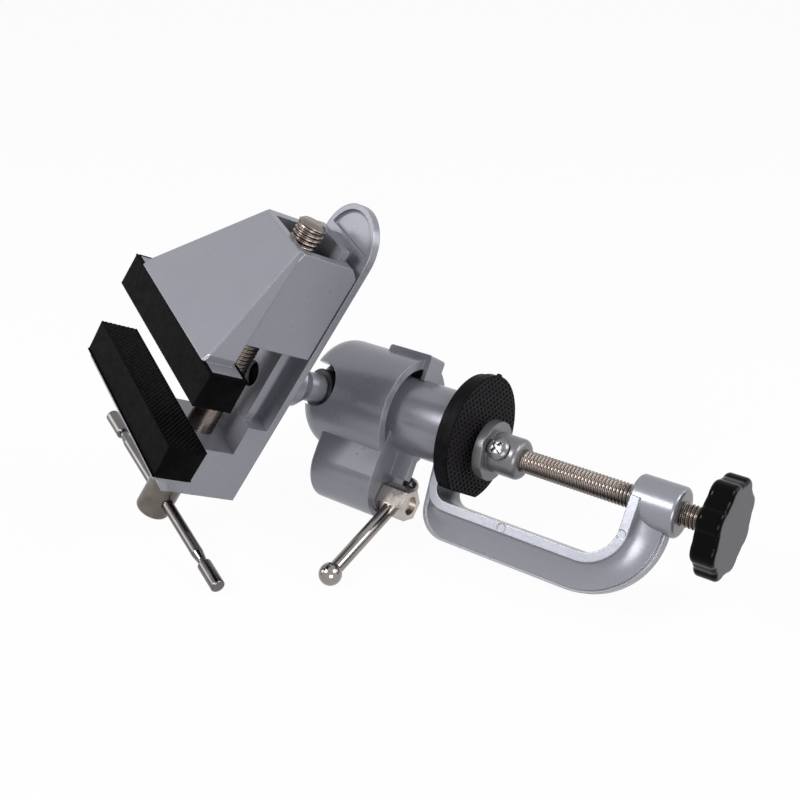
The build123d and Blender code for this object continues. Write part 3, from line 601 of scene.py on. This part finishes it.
def ribbed_sleeve(name, node, body, away):
    """Rubber sleeve of a jaw: sections across the jaw, each a loop round the outside and back along the
    hollow. The gripping face is a row of slanted ribs whose depth is a clipped wave of the distance across
    them."""
    start, end = reach(node, along_screw, ball_centre)
    half = reach(node, across, ball_centre)[1]
    bottom, top = reach(node, along_neck, ball_centre)
    grip, depth = (start, end - start) if away > 0 else (end, end - start)
    middle, tall = (bottom + top) / 2, (top - bottom) / 2
    wall, soft, slices = 0.0015, 0.0005, 280
    inset, rise = quarter_round(soft)

    ends = -half + rise[::-1]
    shrink = inset[::-1]
    plain = np.array([-half + soft + 0.0005, -half + wall])
    grid = np.linspace(-half + wall, half - wall, slices)
    lower_half = np.concatenate([ends, plain])
    places = np.concatenate([lower_half, grid, -lower_half[::-1]])
    shrinks = np.concatenate([shrink, np.zeros(len(plain) + len(grid) + len(plain)), shrink[::-1]])
    hollow = np.concatenate([np.zeros(len(lower_half)), np.ones(len(grid)), np.zeros(len(lower_half))])

    # At the top, each corner's points run from its face to the outside: from the gripping face in front and
    # from the back face behind. At the bottom they run the other way. For the back corners this order slopes
    # the outer top and bottom faces a little and folds a narrow fin over each long back edge.
    face_steps, corner_steps = 60, 5
    face = np.linspace(-tall + soft, tall - soft, face_steps)
    corner_in, corner_out = quarter_round(soft, corner_steps)
    behind = np.concatenate([np.zeros(face_steps), corner_in, depth - corner_in, [depth, wall, wall, depth],
                             depth - corner_in[::-1], corner_in[::-1]])
    height = np.concatenate([face, tall - corner_out, tall - corner_out,
                             [tall - wall, tall - wall, wall - tall, wall - tall],
                             corner_out[::-1] - tall, corner_out[::-1] - tall])
    hollow_start = face_steps + 2 * corner_steps + 1
    inner = np.zeros(len(behind))
    inner[hollow_start:hollow_start + 2] = 1
    loop = behind[None] * np.ones((len(places), 1))
    loop += (depth - loop) * inner * (1 - hollow[:, None])
    loop = np.clip(loop, shrinks[:, None], depth - shrinks[:, None])
    levels = np.clip(height[None], shrinks[:, None] - tall, tall - shrinks[:, None])

    pitch, relief, margin = 0.0012, 0.00032, 0.0004
    slanted = (places[:, None] + levels) / np.sqrt(2)
    valley = np.clip(0.5 + 0.9 * np.sin(2 * np.pi * slanted / pitch), 0, 1)
    room = np.clip((half - np.abs(places)[:, None]) / margin, 0, 1)
    room = room * np.clip((tall - np.abs(levels)) / margin, 0, 1)
    on_face = np.zeros(len(behind))
    on_face[:face_steps] = 1
    loop = loop + relief * valley * room * on_face
    rings = (ball_centre + (grip + away * loop)[:, :, None] * along_screw + places[:, None, None] * across
             + (middle + levels)[:, :, None] * along_neck)
    skin(name, rings, body, node, jaw_rubber)


clamp_spindle()
lead_spindle()
foot_cross_screw()
shouldered_ball()
studded_pad()
web_cove("web_cove_left", -1)
web_cove("web_cove_right", 1)
ribbed_sleeve("fixed_jaw_ribs", "fixed_jaw_cap", "bed", -1)
ribbed_sleeve("movable_jaw_ribs", "movable_jaw_cap", "jaw", 1)


# Stage, lights and camera

def light_node(tree, kind, strength):
    """A white emission or background node of a strength."""
    node = tree.nodes.new(kind)
    node.inputs["Color"].default_value = (1, 1, 1, 1)
    node.inputs["Strength"].default_value = strength
    return node


def joined(tree, operation, first, second):
    """A Math node that joins an output with another output or a number."""
    node = tree.nodes.new("ShaderNodeMath")
    node.operation = operation
    tree.links.new(first, node.inputs[0])
    if isinstance(second, float):
        node.inputs[1].default_value = second
    else:
        tree.links.new(second, node.inputs[1])
    return node.outputs[0]


def mixed(tree, factor, first, second):
    """A Mix Shader node between two shaders."""
    node = tree.nodes.new("ShaderNodeMixShader")
    for socket, output in zip(node.inputs, (factor, first, second)):
        tree.links.new(output, socket)
    return node.outputs[0]


def seen_directly(tree):
    """One for camera, glossy and transmission rays, else zero."""
    rays = tree.nodes.new("ShaderNodeLightPath").outputs
    seen = joined(tree, "MAXIMUM", rays["Is Camera Ray"], rays["Is Glossy Ray"])
    return joined(tree, "MAXIMUM", seen, rays["Is Transmission Ray"])


def camera_axes():
    """The photograph's right, up and towards-the-camera directions."""
    towards = Vector(camera_back).normalized()
    right = Vector(camera_up).cross(towards).normalized()
    return right, towards.cross(right), towards


def stage_floor():
    """White table top under the object as it lies in the photograph, seen from its upper side only."""
    normal = np.array(table_normal)
    points = corners(nodes)
    level = float((points @ normal).min())
    centre = points.mean(axis=0)
    centre += normal * (level - centre @ normal)
    side = np.cross(normal, (0.0, 0.0, 1.0))
    side /= np.linalg.norm(side)
    other = np.cross(normal, side)
    half_width = 6.0
    square = [centre + half_width * (a * side + b * other) for a, b in ((-1, -1), (1, -1), (1, 1), (-1, 1))]
    mesh = bpy.data.meshes.new("table top")
    mesh.from_pydata([tuple(p) for p in square], [], [(0, 1, 2, 3)])
    if np.array(mesh.polygons[0].normal) @ normal < 0:
        mesh.flip_normals()
    floor = bpy.data.objects.new("table_top", mesh)
    bpy.context.scene.collection.objects.link(floor)

    material = bpy.data.materials.new("white table")
    material.use_nodes = True
    tree = material.node_tree
    tree.nodes.clear()
    output = tree.nodes.new("ShaderNodeOutputMaterial")
    diffuse = tree.nodes.new("ShaderNodeBsdfDiffuse")
    diffuse.inputs["Color"].default_value = table_grey
    glow = light_node(tree, "ShaderNodeEmission", 1.0)
    share = joined(tree, "MULTIPLY", seen_directly(tree), table_glow)
    lit = mixed(tree, share, diffuse.outputs[0], glow.outputs[0])
    clear = tree.nodes.new("ShaderNodeBsdfTransparent")
    back = tree.nodes.new("ShaderNodeNewGeometry")
    one_sided = mixed(tree, back.outputs["Backfacing"], lit, clear.outputs[0])
    tree.links.new(one_sided, output.inputs["Surface"])
    mesh.materials.append(material)


def studio_world():
    """Grey light from all round; the camera, reflections and transmission see white."""
    world = bpy.data.worlds.new("studio")
    bpy.context.scene.world = world
    world.use_nodes = True
    tree = world.node_tree
    tree.nodes.clear()
    output = tree.nodes.new("ShaderNodeOutputWorld")
    ambient = light_node(tree, "ShaderNodeBackground", ambient_strength)
    bright = light_node(tree, "ShaderNodeBackground", 1.0)
    mix = mixed(tree, seen_directly(tree), ambient.outputs[0], bright.outputs[0])
    tree.links.new(mix, output.inputs["Surface"])


def soft_lamp(name, place, aim, size, power):
    """Square area lamp at a place, turned to an aim."""
    data = bpy.data.lights.new(name, "AREA")
    data.shape = "SQUARE"
    data.size = size
    data.energy = power
    lamp = bpy.data.objects.new(name, data)
    lamp.location = place
    lamp.rotation_mode = "QUATERNION"
    lamp.rotation_quaternion = (aim - place).to_track_quat("-Z", "Y")
    bpy.context.scene.collection.objects.link(lamp)


def studio_lights(aim):
    """Soft lamps round the object, each by its direction to the right, up and towards the camera."""
    right, up, towards = camera_axes()
    aim = Vector(aim)
    lamps = (
        ("key lamp", (-0.66, 0.47, 0.58), 0.28, 5.2),
        ("right lamp", (0.65, 0.50, 0.57), 0.35, 3.6),
        ("low lamp", (0.15, -0.35, 0.92), 0.40, 4.0),
        ("left side lamp", (-0.93, 0.36, 0.05), 0.35, 1.2),
        ("right side lamp", (0.93, 0.36, 0.05), 0.35, 1.1),
    )
    for name, side, size, power in lamps:
        away = side[0] * right + side[1] * up + side[2] * towards
        soft_lamp(name, aim + lamp_distance * away.normalized(), aim, size, power)


def photo_camera():
    """Camera at the photograph's place, turned as it was."""
    data = bpy.data.cameras.new("camera")
    data.lens = camera_lens
    data.sensor_width = camera_sensor
    data.clip_start = 0.01
    data.clip_end = 20
    camera = bpy.data.objects.new("camera", data)
    turn = Matrix(camera_axes()).transposed()
    camera.matrix_world = Matrix.Translation(camera_place) @ turn.to_4x4()
    bpy.context.scene.collection.objects.link(camera)
    bpy.context.scene.camera = camera


stage_floor()
studio_world()
studio_lights(corners(nodes).mean(axis=0))
photo_camera()
bpy.context.scene.view_settings.view_transform = "Standard"
